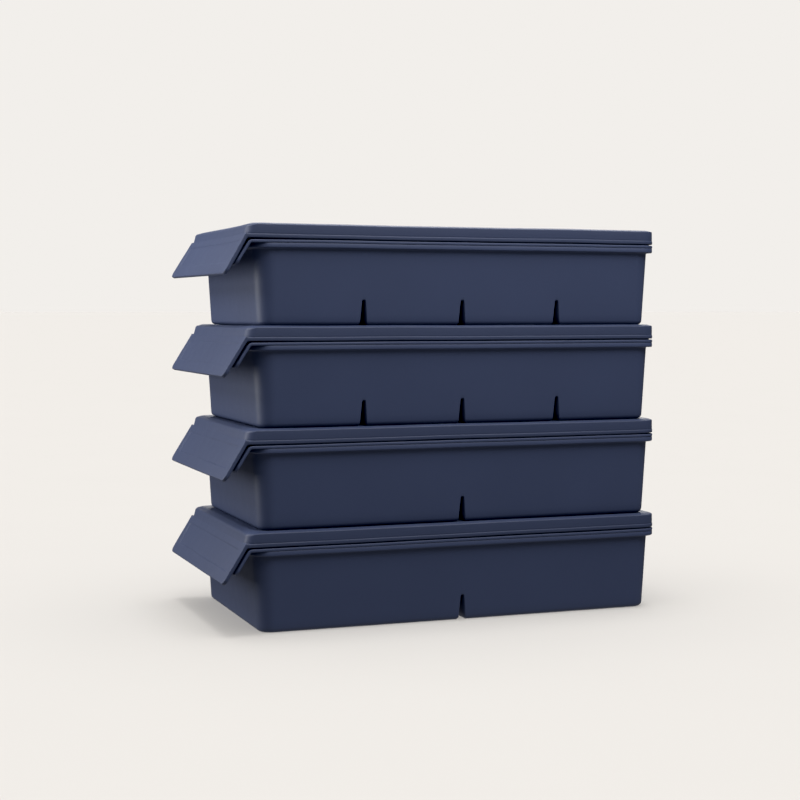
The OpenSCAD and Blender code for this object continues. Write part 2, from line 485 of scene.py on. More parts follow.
@dataclass(frozen=True)
class Moulding:
    """One soft piece of the stack, either a tray or a lid."""

    sizes: StackSizes
    level: int

    @staticmethod
    def _tab_side(flat_x: list[Array], base_x: float, hold: float) -> Array:
        """Places the long sides' stations at the tab end for its widest outline.

        A station v past the hold lands on v + stretch * (v - hold) there, so v is
        (landing + stretch * hold) / (1 + stretch).

        Args:
            flat_x: X on which the stations land in the widest outline, from the hold to the tip.
            base_x: X of the base rectangle's corner centres.
            hold: Stations nearer the middle than this aren't stretched.

        Returns:
            X of the stations, rising.
        """
        wide = -np.concatenate(flat_x)
        stretch = (wide[-1] - base_x) / (base_x - hold)
        return -np.sort((wide + stretch * hold) / (1 + stretch))[::-1]

    def _rim_row(self, skin: Skin, inset: float, z: float) -> Array:
        """A level row that stands in from the rim's outline by inset all round."""
        x, y = self._outline(skin, inset, inset - self.sizes.rim_half_l, self.sizes.rim_r - inset)
        return skin.add(x, y, z)

    def _outline(self, skin: Skin, inset: float, left: float, left_r: float) -> tuple[Array, Array]:
        """The rim's outline moved in by inset, with its own reach and corners at the tab end.

        Args:
            skin: The piece's skin.
            inset: How far the outline stands in along the sides and the plain end.
            left: X at the tab end.
            left_r: Radius of the two corners at the tab end.

        Returns:
            X and Y at every station.
        """
        size = self.sizes
        half_l, half_w = size.rim_half_l - inset, size.rim_half_w - inset
        return skin.stations.outline(left, half_l, half_w, left_r, size.rim_r - inset)


# ---------------------------------------------------------------- trays


@dataclass(frozen=True)
class Tray(Moulding):
    """One tray: basin, grooves, rim, tab, lip and compartments in a single skin."""

    compartments: int
    edge_r: float = 2.5
    groove_edge_r: float = 0.55
    groove_edge_run: float = 1.2
    fillet_r: float = 0.8
    floor_r: float = 4.0
    pocket_edge_r: float = 0.8
    groove_h: float = 14.2
    groove_foot_w: float = 4.4
    groove_end_w: float = 2.2
    groove_bevel: float = 0.9
    groove_bevel_h: float = 1.35
    groove_flare: float = 0.16
    sheet_t: float = 1.6
    sheet_edge_r: float = 0.45
    sheet_in: float = 0.16
    bead_in: float = 0.12
    bead_low_r: float = 0.6
    bead_top_r: float = 0.3
    line_in: float = 0.26
    line_h: float = 0.1
    tab_l: float = 14.0
    tab_gap: float = 3.3
    bend_r: float = 3.0
    lip_root_r: float = 0.4
    lip_root_in: float = 2.3
    lip_top_r: float = 0.5

    @property
    def name(self) -> str:
        """The piece's name."""
        return f"tray_{self.level}_shell"

    @property
    def dividers(self) -> Array:
        """X of each divider's and groove's mid-line: equal parts of the foot's length."""
        i = np.arange(1, self.compartments)
        return self.sizes.foot_half_l * (2 * i / self.compartments - 1)

    @property
    def bend(self) -> SheetBend:
        """The fold at the root of the tab, one gap inside the lid's tab.

        Returns:
            The bend.
        """
        size = self.sizes
        line = size.crease + self.tab_gap * size.inward
        fold_x = line[0] - (line[1] - size.rim_top) / math.tan(size.tab_slope)
        start_x = fold_x + self.bend_r * math.tan(size.tab_slope / 2)
        return SheetBend(start_x, size.rim_top, self.bend_r, size.tab_slope)

    def _groove_section(self) -> Array:
        """Offsets of the stations across a groove: its closed end, its flanks and its bevels.

        The numbers are distances in from the closed end's edge and out from the flank's foot.

        Returns:
            The offsets, rising.
        """
        end, foot = self.groove_end_w / 2, self.groove_foot_w / 2
        cap = end - np.array([end, 0.8, 0.5, 0.25, 0.08])
        bevel = foot + np.array([0.25, 0.6, self.groove_bevel, 1.4, 2.8])
        half = np.concatenate([cap, np.linspace(end, foot, 7), bevel])
        return np.concatenate([-half[:0:-1], half])

    def stations(self) -> Stations:
        """Stations that are close together at the grooves and along the tab's side edge.

        Returns:
            The stations.
        """
        size, hold, clear, apart = self.sizes, 72.0, 1.5, 0.1
        base_x, base_y = size.foot_half_l - size.foot_r, size.foot_half_w - size.foot_r
        b = self.bend
        folds = b.start_x - np.linspace(0.0, b.run, 9)
        reach = [np.linspace(-hold, b.start_x + 1.0, 15), folds]
        reach += [np.linspace(folds[-1] - 1.0, folds[-1] - self.tab_l + size.tab_tip_r, 9)]
        section = self._groove_section()
        middle = np.linspace(-hold, hold, 31)
        for g in self.dividers:
            middle = middle[np.abs(middle - g) > section[-1] + clear]
            middle = np.concatenate([middle, g + section])
        middle = np.unique(np.round(middle, 4))
        middle = middle[np.abs(middle) < hold - apart]
        along = [self._tab_side(reach, base_x, hold), middle, np.linspace(hold, base_x, 10)]
        return Stations(np.concatenate(along), np.linspace(-base_y, base_y, 27), 9, hold, 0.0)

    def _groove_lift(self, x: Array) -> tuple[Array, Array]:
        """Height of the foot's underside over the grooves, and how far each point is in one.

        The flank is straight between the bevel and the closed end, which is half an
        ellipse. The bevel is a quarter ellipse.

        Args:
            x: X of the points.

        Returns:
            The lift, and the signed distance from the groove's mid-line, or 0 outside.
        """
        lift, offset = np.zeros_like(x), np.zeros_like(x)
        foot, end = self.groove_foot_w / 2, self.groove_end_w / 2
        bevel_h, cap_h = self.groove_bevel_h, self.groove_end_w / 3
        for g in self.dividers:
            d = x - g
            a = np.abs(d)
            into = (foot + self.groove_bevel - a) / self.groove_bevel
            bevel = bevel_h * (1 - np.sqrt(np.clip(1 - into ** 2, 0, 1)))
            flank = bevel_h + (self.groove_h - cap_h - bevel_h) * (foot - a) / (foot - end)
            top = self.groove_h - cap_h + cap_h * np.sqrt(np.clip(1 - (a / end) ** 2, 0, 1))
            here = np.where(a >= foot, bevel, np.where(a >= end, flank, top))
            inside = a < foot + self.groove_bevel - TINY
            lift = np.where(inside, here, lift)
            offset = np.where(a <= foot + TINY, d, offset)
        return lift, offset

    def build(self) -> Skin:
        """Builds the skin from the foot out over the rim and lip and down into the pockets.

        Returns:
            The closed skin.
        """
        skin = Skin(self.stations())
        rows = self._foot_and_wall(skin)
        skin.close_row(rows[0], up=False)
        rows += self._rim(skin)
        rows += self._lip(skin)
        skin.stack(rows)
        self._pockets(skin, rows[-1])
        return skin

    def _foot_row(self, skin: Skin, inset: Array | float, z: Array, pull: Array | float) -> Array:
        """A row that leans with the wall: the foot's outline out by draft * z and in by inset.

        Args:
            skin: The tray's skin.
            inset: How far the row stands in from the leaning wall.
            z: Height of each point.
            pull: How far each point is drawn towards its groove's mid-line.

        Returns:
            The row's point numbers.
        """
        out = self.sizes.draft * z - inset
        left, half_w = -self.sizes.foot_half_l - out, self.sizes.foot_half_w + out
        radius = self.sizes.foot_r + out
        x, y = skin.stations.outline(left, -left, half_w, radius, radius)
        return skin.add(x - pull, y, z)

    def _foot_and_wall(self, skin: Skin) -> list[Array]:
        """The foot's rounded edge, notched by the grooves, then the leaning wall and its fillet.

        Args:
            skin: The piece's skin, which gets the rows.

        Returns:
            The point numbers of each row, in order.
        """
        s = skin.stations
        side = np.abs(s.out[:, 1]) > 0.999
        lift, offset = self._groove_lift(np.where(side, s.x, FAR_X))
        radius = blend(self.edge_r, self.groove_edge_r, smooth(lift / self.groove_edge_run))
        flare = self.groove_flare * offset
        rows = []
        for inward, rise in rounding(1.0, 6):
            z = lift + radius * rise
            rows.append(self._foot_row(skin, radius * inward, z, flare * inward))
        top = self.sizes.rim_top - self.sizes.rim_band
        for share in np.linspace(0.0, 1.0, 12)[1:]:
            z = blend(lift + radius, top - self.fillet_r, share)
            rows.append(self._foot_row(skin, 0.0, z, 0.0))
        for turn in np.radians([30.0, 60.0, 85.0]):
            z = np.full(s.count, top - self.fillet_r * (1 - math.sin(turn)))
            rows.append(self._foot_row(skin, -self.fillet_r * (1 - math.cos(turn)), z, 0.0))
        return rows

    def _sheet_row(self, skin: Skin, inset: float, left: float, left_r: float, depth: float) -> Array:
        """A row of the rim's top sheet: its flat outline, folded down over the tab's bend.

        Args:
            skin: The tray's skin.
            inset: How far the row stands in from the rim's edge.
            left: Flat X of the row at the tab end.
            left_r: Radius of its corners at the tab end.
            depth: Depth under the sheet's top face.

        Returns:
            The row's point numbers.
        """
        x, y = self._outline(skin, inset, left, left_r)
        x, z = self.bend.place(x, depth)
        return skin.add(x, y, z)

    def _sheet_levels(self) -> Array:
        """Flat X of the sheet's rows at the tab end, close together round the bend.

        Returns:
            The levels, from the rim out to the tip.
        """
        b = self.bend
        tip = b.start_x - b.run - self.tab_l + self.sheet_edge_r
        levels = [np.array([b.start_x + 0.3]), b.start_x - np.linspace(0.0, b.run, 8)]
        levels.append(np.linspace(b.start_x - b.run, tip, 9)[1:])
        return np.concatenate(levels)

    def _rim(self, skin: Skin) -> list[Array]:
        """The rim's rounded bead, the fine line above it, and the sheet that carries the tab.

        Args:
            skin: The piece's skin, which gets the rows.

        Returns:
            The point numbers of each row, in order.
        """
        size, e, tip_r = self.sizes, self.sheet_edge_r, self.sizes.tab_tip_r
        bottom, under = size.rim_top - size.rim_band, size.rim_top - self.sheet_t
        rows = [self._rim_row(skin, self.bead_in + self.bead_low_r, bottom)]
        for inward, rise in rounding(self.bead_low_r, 5)[1:]:
            rows.append(self._rim_row(skin, self.bead_in + inward, bottom + rise))
        for inward, rise in reversed(rounding(self.bead_top_r, 4)[:-1]):
            rows.append(self._rim_row(skin, self.bead_in + inward / 2, under - self.line_h - rise))
        rows.append(self._rim_row(skin, self.line_in, under))
        levels = self._sheet_levels()
        share = np.linspace(0.0, 1.0, len(levels))
        for q, left in zip(share, levels):
            inset = float(blend(self.sheet_in, e, q))
            left_r = float(blend(size.rim_r - inset, tip_r - e, q))
            rows.append(self._sheet_row(skin, inset, left, left_r, self.sheet_t))
        tip = float(levels[-1]) - e
        edge = [(inward, self.sheet_t - rise) for inward, rise in rounding(e, 4)[1:]]
        edge += reversed(rounding(e, 4))
        for inward, depth in edge:
            rows.append(self._sheet_row(skin, inward, tip + inward, tip_r - inward, depth))
        for q, left in zip(share[::-1][1:], levels[::-1][1:]):
            inset = float(blend(self.lip_root_in, e, q))
            left_r = float(blend(size.rim_r - inset, tip_r - e, q))
            rows.append(self._sheet_row(skin, inset, left, left_r, 0.0))
        return rows

    def _lip(self, skin: Skin) -> list[Array]:
        """The lip that stands up inside the lid's skirt, with rounded root and top.

        Args:
            skin: The piece's skin, which gets the rows.

        Returns:
            The point numbers of each row, in order.
        """
        size, lip = self.sizes, self.sizes.lip_inset
        rows = []
        for inward, rise in rounding(self.lip_root_r, 4):
            rows.append(self._rim_row(skin, lip - inward, size.rim_top + rise))
        rows.append(self._rim_row(skin, lip, size.mouth_top - self.lip_top_r))
        for inward, rise in reversed(rounding(self.lip_top_r, 4)[:-1]):
            rows.append(self._rim_row(skin, lip + rise, size.mouth_top - inward))
        return rows

    def _pockets(self, skin: Skin, mouth: Array) -> None:
        """Opens each compartment inside the mouth's row, with dividers between them.

        Args:
            skin: The tray's skin.
            mouth: Numbers of the mouth's row.
        """
        s, mids = skin.stations, {}
        for g in self.dividers:
            i = int(np.argmin(np.abs(s.along - g)))
            a, b = skin.points_at(mouth[s.front[i]]), skin.points_at(mouth[s.back[i]])
            inner = a + (b - a) * s.rows[1:-1, None]
            mids[i] = skin.add(inner[:, 0], inner[:, 1], inner[:, 2])
        cuts = [0, *mids, len(s.along) - 1]
        for first, last in zip(cuts, cuts[1:]):
            Pocket(self, s, first, last).build(skin, mouth, mids)


class Pocket:
    """One compartment's hollow, below its share of the tray's mouth."""

    corner_share = 9.0
    end_spread = 1.2
    half_corner = 45.0

    def __init__(self, tray: Tray, stations: Stations, first: int, last: int) -> None:
        """Notes which stations bound the compartment.

        Args:
            tray: The tray it belongs to.
            stations: The tray's stations.
            first: Number of the long-side station at its tab-end edge.
            last: Number of the long-side station at its plain-end edge.
        """
        self.tray, self.s = tray, stations
        self.first, self.last = first, last
        self.at_tab = first == 0
        self.at_plain = last == len(stations.along) - 1

    def _sides(self, mouth: Array, mids: dict[int, Array]) -> tuple[Array, Array, Array, Array]:
        """Numbers of the points round the compartment: near, far, left and right sides.

        Args:
            mouth: Numbers of the mouth's row.
            mids: Numbers of the points along each divider's mid-line.

        Returns:
            The numbers of the four sides.
        """
        s, span = self.s, slice(self.first, self.last + 1)
        near, far = mouth[s.front[span]], mouth[s.back[span]]
        if self.at_tab:
            near = np.concatenate([mouth[s.left[:1]], mouth[s.corner_fl], near])
            far = np.concatenate([mouth[s.left[-1:]], mouth[s.corner_bl], far])
        if self.at_plain:
            near = np.concatenate([near, mouth[s.corner_fr], mouth[s.right[:1]]])
            far = np.concatenate([far, mouth[s.corner_br], mouth[s.right[-1:]]])
        left = mouth[s.left[1:-1]] if self.at_tab else mids[self.first]
        right = mouth[s.right[1:-1]] if self.at_plain else mids[self.last]
        return near, far, left, right

    def _side_turns(self) -> tuple[Array, Array]:
        """Place and turn of the near side's points on the pocket's own outline.

        The place runs from -1 to 1 between the corner centres. The turn is in degrees from
        straight ahead: a real corner's stations keep theirs, and at a divider the last
        stretch of the side goes half way round the pocket's corner.

        Returns:
            The places and the turns, from left to right.
        """
        s, c = self.s, self.corner_share
        x = s.along[self.first:self.last + 1]
        low = x[0] + (0.0 if self.at_tab else c)
        high = x[-1] - (0.0 if self.at_plain else c)
        place = np.clip((x - low) / (high - low), 0.0, 1.0) * 2 - 1
        turn = np.zeros_like(x)
        if not self.at_tab:
            turn -= self.half_corner * np.clip((low - x) / c, 0.0, 1.0)
        if not self.at_plain:
            turn += self.half_corner * np.clip((x - high) / c, 0.0, 1.0)
        corner = np.ones(len(s.quarter) + 1)
        if self.at_tab:
            place = np.concatenate([-corner, place])
            turn = np.concatenate([[-90.0], s.quarter - 90.0, turn])
        if self.at_plain:
            place = np.concatenate([place, corner])
            turn = np.concatenate([turn, s.quarter, [90.0]])
        return place, turn

    def _end_turns(self, real: bool) -> tuple[Array, Array]:
        """Place and turn of an end side's inner points, from near to far.

        Args:
            real: True if the side is an end of the tray and not a divider.

        Returns:
            The places and the turns.
        """
        y = self.s.across
        if real:
            return (y / y[-1])[1:-1], np.zeros(len(y) - 2)
        wide = y * self.end_spread
        straight = wide[-1] - self.corner_share
        place = np.clip(wide / straight, -1.0, 1.0)
        past = np.clip((np.abs(wide) - straight) / self.corner_share, 0.0, 1.0)
        turn = self.half_corner * np.sign(wide) * past
        return place[1:-1], turn[1:-1]

    def build(self, skin: Skin, mouth: Array, mids: dict[int, Array]) -> None:
        """Carries the compartment's rows down from the mouth and closes its floor.

        A point lies at corner centre + radius * (cos, sin) of its turn.

        Args:
            skin: The tray's skin.
            mouth: Numbers of the mouth's row.
            mids: Numbers of the points along each divider's mid-line.
        """
        near, far, left, right = self._sides(mouth, mids)
        along, bow = self._side_turns()
        left_at, left_bow = self._end_turns(self.at_tab)
        right_at, right_bow = self._end_turns(self.at_plain)
        u = np.concatenate([along, np.ones(len(right)), along[::-1], -np.ones(len(left))])
        v = np.concatenate([-np.ones(len(near)), right_at, np.ones(len(far)), left_at[::-1]])
        turn = np.concatenate([bow - 90.0, right_bow, 90.0 - bow[::-1], 180.0 - left_bow[::-1]])
        turn = np.radians(turn)
        loop = np.concatenate([near, right, far[::-1], left[::-1]])
        t, size = self.tray, self.tray.sizes
        end_x = size.foot_half_l + size.draft * size.wall - size.wall
        half_gap = t.groove_foot_w / 2 + size.wall
        x_a = -end_x if self.at_tab else self.s.along[self.first] + half_gap
        x_b = end_x if self.at_plain else self.s.along[self.last] - half_gap
        half_w = size.foot_half_w + size.draft * size.wall - size.wall
        corner_r = size.foot_r - size.wall

        def row(inset: float, z: float) -> Array:
            """One level row of the hollow, in from its leaning wall by inset.

            Args:
                inset: How far it stands in.
                z: Its height.

            Returns:
                The row's point numbers.
            """
            out = size.draft * (z - size.wall) - inset
            r = corner_r + out
            x = (x_a + x_b) / 2 + ((x_b - x_a) / 2 + out - r) * u + r * np.cos(turn)
            y = (half_w + out - r) * v + r * np.sin(turn)
            return skin.add(x, y, z)

        e, f = t.pocket_edge_r, t.floor_r
        rows = [loop]
        rows += [row(-i, size.mouth_top - rise) for i, rise in rounding(e, 5)]
        walls = np.linspace(size.mouth_top - e, size.wall + f, 9)[1:]
        rows += [row(0.0, float(z)) for z in walls]
        rows += [row(i, size.wall + rise) for i, rise in reversed(rounding(f, 7)[:-1])]
        skin.stack(rows)
        n, m = len(near), len(right)
        near, right, far, left = np.split(rows[-1], [n, n + m, 2 * n + m])
        skin.close(near, far[::-1], left[::-1], right, self.s.rows, up=True)


# ---------------------------------------------------------------- lids


@dataclass(frozen=True)
class Lid(Moulding):
    """One lid: panel, skirt, flange, tab, shoulder, ridge and recess in a single skin."""

    panel_t: float = 2.2
    panel_in: float = 5.9
    panel_fillet_r: float = 0.7
    lip_gap: float = 0.35
    skirt_edge_r: float = 0.3
    ridge_h: float = 0.55
    crest_in: float = 3.8
    crest_drop: float = 0.2
    crest_r: float = 5.0
    tab_crest_in: float = 1.6
    tab_panel_in: float = 5.2
    edge_drop: float = 0.9
    wall_in: float = 0.18
    top_r: float = 0.6
    shoulder_top: float = 2.2
    shoulder_r: float = 6.0
    shoulder_lean: float = 0.8
    sheet_t: float = 2.0
    edge_r: float = 0.5
    inner_bend_r: float = 1.2
    rise_run: float = 1.2
    shift_run: float = 10.0
    tab_l: float = 24.6
    tab_edge_share: float = 0.36
    label_edge: float = 0.4
    label_depth: float = 0.3
    label_top: float = 4.3
    label_tip: float = 6.9
    label_side: float = 7.0

    @property
    def name(self) -> str:
        """The piece's name."""
        return f"lid_{self.level}_shell"

    @property
    def bend(self) -> SheetBend:
        """The sheet's fold, set so that its underside meets the skirt's lower edge.

        Returns:
            The bend.
        """
        size = self.sizes
        inner = size.crease + self.sheet_t * size.inward
        meet_x = inner[0] - (inner[1] - size.lid_bottom) / math.tan(size.tab_slope)
        start_x = meet_x + self.inner_bend_r * math.tan(size.tab_slope / 2)
        radius = self.inner_bend_r + self.sheet_t
        return SheetBend(start_x, size.lid_bottom + self.sheet_t, radius, size.tab_slope)

    @property
    def crease_run(self) -> float:
        """X that the crease would have if the sheet were flat: the slope carried back.

        Returns:
            The flat X of the crease.
        """
        b = self.bend
        bend_end_x = b.start_x - b.radius * math.sin(b.slope)
        along = (self.sizes.crease[0] - bend_end_x) / math.cos(b.slope)
        return b.start_x - b.run + along

    def stations(self) -> Stations:
        """Stations that are close together along the tab's side edge and the label's edges.

        Returns:
            The stations.
        """
        size, hold, run = self.sizes, 70.0, self.crease_run
        base_x, base_y = size.rim_half_l - size.rim_r, size.rim_half_w - self.shoulder_r
        reach = [np.linspace(-hold, run + 4.0, 17), np.linspace(run + 3.0, run - 4.0, 17)]
        reach.append(np.linspace(run - 5.5, run - self.tab_l + size.tab_tip_r, 11))
        middle = np.linspace(-hold, hold, 35)[1:-1]
        along = [self._tab_side(reach, base_x, hold), middle, np.linspace(hold, base_x, 12)]
        label = size.rim_half_w - self.label_side
        edge = label + np.array([-0.9, -0.45, -0.2, 0.0, 0.2, 0.4])
        inner = np.linspace(-label + 2.0, label - 2.0, 31)
        across = np.concatenate([[-base_y], -edge[::-1], inner, edge, [base_y]])
        return Stations(np.concatenate(along), across, 10, hold, float(edge[-1]))

    def _over(self, flat_x: Array) -> tuple[Array, Array]:
        """The sheet's outer face: flat, a short rise to the crease, then straight down the tab.

        Args:
            flat_x: X that a point would have if the sheet were still flat.

        Returns:
            X and Z of the folded points.
        """
        run, size = self.crease_run, self.sizes
        crease_x, crease_z = size.crease
        past = np.clip(run - flat_x, 0.0, None)
        shift = np.clip((run + self.shift_run - flat_x) / self.shift_run, 0.0, 1.0)
        flat_z = size.lid_bottom + self.sheet_t
        x = np.where(flat_x > run, flat_x + (crease_x - run) * shift, crease_x + past * size.down[0])
        z = blend(crease_z, flat_z, ramp(flat_x, run, self.rise_run))
        return x, np.where(flat_x > run, z, crease_z + past * size.down[1])

    def _sheet_row(
        self,
        skin: Skin,
        inset: float,
        left: float,
        left_r: float,
        depth: float,
        label: bool = False,
    ) -> Array:
        """A row of the sheet: its flat outline, folded, at a depth under the outer face.

        The place through the thickness is the mix of the outer and inner faces, so the
        corner over the bend is filled, as it is in the mould.

        Args:
            skin: The lid's skin.
            inset: How far the row stands in from the rim's edge.
            left: Flat X of the row at the tab end.
            left_r: Radius of its corners at the tab end.
            depth: Depth under the outer face.
            label: True on the outer face's rows, where the label panel is sunk.

        Returns:
            The row's point numbers.
        """
        x, y = self._outline(skin, inset, left, left_r)
        deep = np.full(len(x), depth)
        if label:
            down = self.crease_run - x
            inside = smooth((down - self.label_top) / self.label_edge + 0.5)
            inside = inside * smooth((self.tab_l - self.label_tip - down) / self.label_edge + 0.5)
            side = self.sizes.rim_half_w - self.label_side - np.abs(y)
            inside = inside * smooth(side / self.label_edge + 0.5)
            deep = deep + self.label_depth * inside
        over_x, over_z = self._over(x)
        under_x, under_z = self.bend.place(x, self.sheet_t)
        share = deep / self.sheet_t
        return skin.add(blend(over_x, under_x, share), y, blend(over_z, under_z, share))

    def _wall_row(
        self, skin: Skin, side: tuple[float, float], tab_end: tuple[float, float, float]
    ) -> Array:
        """A row of the skirt's outside, with its own place and height at the tab end.

        Args:
            skin: The lid's skin.
            side: Inset and height along the sides and the plain end.
            tab_end: X, height and corner radius at the tab end.

        Returns:
            The row's point numbers.
        """
        (inset, z), (left, left_z, left_r) = side, tab_end
        x, y = self._outline(skin, inset, left, left_r)
        return skin.add(x, y, blend(z, left_z, smooth(-skin.stations.out[:, 0])))

    def build(self) -> Skin:
        """Builds the skin from the panel's underside out over the tab and in to its top.

        Returns:
            The closed skin.
        """
        skin = Skin(self.stations())
        rows = self._cavity(skin)
        skin.close_row(rows[0], up=False)
        rows += self._underside(skin)
        rows += self._tab_top(skin)
        rows += self._skirt(skin)
        rows += self._ridge(skin)
        skin.stack(rows)
        skin.close_row(rows[-1], up=True)
        return skin

    def _cavity(self, skin: Skin) -> list[Array]:
        """The panel's edge, its fillet, the skirt's inner face and the edge below it.

        Args:
            skin: The piece's skin, which gets the rows.

        Returns:
            The point numbers of each row, in order.
        """
        bottom, inner = self.sizes.lid_bottom, self.sizes.lip_inset - self.lip_gap
        under = self.sizes.lid_top - self.ridge_h - self.panel_t
        rows = []
        for inward, rise in rounding(self.panel_fillet_r, 4):
            rows.append(self._rim_row(skin, inner + inward, under - rise))
        rows.append(self._rim_row(skin, inner, (under + bottom) / 2))
        for inward, rise in rounding(self.skirt_edge_r, 4):
            rows.append(self._rim_row(skin, inner - rise, bottom + inward))
        return rows

    def _underside(self, skin: Skin) -> list[Array]:
        """The sheet's inner face, from the skirt's lower edge round the fold to the tip.

        Args:
            skin: The piece's skin, which gets the rows.

        Returns:
            The point numbers of each row, in order.
        """
        b, e, size = self.bend, self.edge_r, self.sizes
        tip = self.crease_run - self.tab_l + e
        levels = [np.array([b.start_x + 1.2]), b.start_x - np.linspace(0.0, b.run, 8)]
        levels = np.concatenate([*levels, np.linspace(b.start_x - b.run, tip, 8)[1:]])
        start = size.lip_inset - self.lip_gap - 0.4
        rows = []
        for q, left in zip(np.linspace(0.0, 1.0, len(levels)), levels):
            inset = float(blend(start, e, q))
            left_r = float(blend(size.rim_r - start, size.tab_tip_r - e, q))
            rows.append(self._sheet_row(skin, inset, float(left), left_r, self.sheet_t))
        return rows

    def _tab_top(self, skin: Skin) -> list[Array]:
        """The sheet's rounded edge, then its outer face up the tab to the crease.

        Args:
            skin: The piece's skin, which gets the rows.

        Returns:
            The point numbers of each row, in order.
        """
        e, run, flush, tip_r = self.edge_r, self.crease_run, self.tab_edge_share, self.sizes.tab_tip_r
        tip = run - self.tab_l
        rows = []
        for inward, rise in rounding(e, 4)[1:]:
            place = (inward, tip + inward, tip_r - inward)
            rows.append(self._sheet_row(skin, *place, self.sheet_t - rise))
        for inward, rise in reversed(rounding(e, 4)):
            place = (flush * inward, tip + inward, tip_r - inward)
            rows.append(self._sheet_row(skin, *place, rise))
        # Rows crowd together where the label panel is let in.
        step = np.array([-0.3, -0.1, 0.1, 0.3])
        low, high = self.tab_l - self.label_tip, self.label_top
        down = np.concatenate([np.linspace(self.tab_l - 2.0, low + 0.8, 4), (low + step)[::-1]])
        down = np.concatenate([down, np.linspace(low - 0.9, high + 0.9, 9), (high + step)[::-1]])
        down = np.concatenate([down, np.linspace(high - 0.9, 0.0, 7)])
        for q, d in zip(np.linspace(0.0, 1.0, len(down)), down):
            left_r = float(blend(tip_r - e, self.shoulder_r - 0.1, q))
            inset = float(blend(flush * e, self.wall_in, q))
            rows.append(self._sheet_row(skin, inset, run - float(d), left_r, 0.0, label=True))
        return rows

    def _skirt(self, skin: Skin) -> list[Array]:
        """The fine line over the flange, the skirt's face and the round at its top.

        Args:
            skin: The piece's skin, which gets the rows.

        Returns:
            The point numbers of each row, in order.
        """
        wall_in, top_r, shoulder_top = self.wall_in, self.top_r, self.shoulder_top
        crease_x, crease_z = self.sizes.crease
        ledge = self.sizes.lid_bottom + self.sheet_t
        top = self.sizes.lid_top - self.edge_drop
        lean_x, lean_z = crease_x + self.shoulder_lean, top - shoulder_top
        rows = []
        # A step is its inset, its height and its share of the way up the shoulder.
        steps = [(wall_in + 0.1, ledge + 0.08, 0.02), (wall_in + 0.02, ledge + 0.3, 0.1)]
        steps += [(wall_in, ledge + 0.9, 0.35), (wall_in, ledge + 2.0, 0.65)]
        for inset, z, share in steps:
            end = (blend(crease_x, lean_x, share), blend(crease_z, lean_z, share), self.shoulder_r)
            rows.append(self._wall_row(skin, (inset, z), end))
        for inward, rise in reversed(rounding(1.0, 8)):
            side = (wall_in + top_r * inward, top - top_r * rise)
            end = (lean_x + shoulder_top * inward, top - shoulder_top * rise)
            rows.append(self._wall_row(skin, side, (*end, self.shoulder_r - inward)))
        return rows

    def _ridge(self, skin: Skin) -> list[Array]:
        """The soft rise from the skirt's top to the ridge's crest, and the slope to the sunk panel.

        The rise follows a quarter sine, and the slope eases at both ends.

        Args:
            skin: The piece's skin, which gets the rows.

        Returns:
            The point numbers of each row, in order.
        """
        size, crest_r, crest_in, end = self.sizes, self.crest_r, self.crest_in, self.panel_in
        edge, crest = size.lid_top - self.edge_drop, size.lid_top - self.crest_drop
        panel = size.lid_top - self.ridge_h
        first = self.wall_in + self.top_r
        tab_first = size.crease[0] + self.shoulder_lean + self.shoulder_top
        tab_crest, tab_end = (inset - size.rim_half_l for inset in (self.tab_crest_in, self.tab_panel_in))
        rows = []
        for share in np.linspace(0.0, 1.0, 7)[1:]:
            z = float(blend(edge, crest, math.sin(share * math.pi / 2)))
            tab = (blend(tab_first, tab_crest, share), z, crest_r)
            rows.append(self._wall_row(skin, (blend(first, crest_in, share), z), tab))
        for share in np.linspace(0.0, 1.0, 8)[1:]:
            z = float(blend(crest, panel, smooth(share)))
            tab = (blend(tab_crest, tab_end, share), z, blend(crest_r, size.rim_r - end, share))
            rows.append(self._wall_row(skin, (blend(crest_in, end, share), z), tab))
        return rows


# ---------------------------------------------------------------- materials


class Part(Enum):
    """Which of the mouldings a finish is for."""

    TRAY = "tray"
    LID = "lid"


class Value:
    """A shader output that can be used in sums."""

    def __init__(self, graph: "Graph", socket: bpy.types.NodeSocket | None) -> None:
        """Wraps one output socket of a graph."""
        self.graph, self.socket = graph, socket

    def _math(self, kind: str, first: object, second: object = 0.0) -> "Value":
        """One Math node with two inputs."""
        return self.graph.node("ShaderNodeMath", {"operation": kind}, {0: first, 1: second})

    def __add__(self, other: object) -> "Value":
        """Sum."""
        return self._math("ADD", self, other)

    def __radd__(self, other: object) -> "Value":
        """Sum with a number on the left."""
        return self._math("ADD", other, self)

    def __sub__(self, other: object) -> "Value":
        """Difference."""
        return self._math("SUBTRACT", self, other)

    def __rsub__(self, other: object) -> "Value":
        """Difference from a number on the left."""
        return self._math("SUBTRACT", other, self)

    def __mul__(self, other: object) -> "Value":
        """Product."""
        return self._math("MULTIPLY", self, other)

    def __rmul__(self, other: object) -> "Value":
        """Product with a number on the left."""
        return self._math("MULTIPLY", other, self)

    def __truediv__(self, other: object) -> "Value":
        """Quotient."""
        return self._math("DIVIDE", self, other)

    def __rtruediv__(self, other: object) -> "Value":
        """Quotient of a number on the left."""
        return self._math("DIVIDE", other, self)

    def between(self, low: float, high: float) -> "Value":
        """Eases from 0 at low to 1 at high.

        Args:
            low: The value that gives 0.
            high: The value that gives 1.

        Returns:
            The eased value.
        """
        return self.graph.node(
            "ShaderNodeMapRange",
            {"interpolation_type": "SMOOTHSTEP"},
            {"Value": self, "From Min": low, "From Max": high},
        )


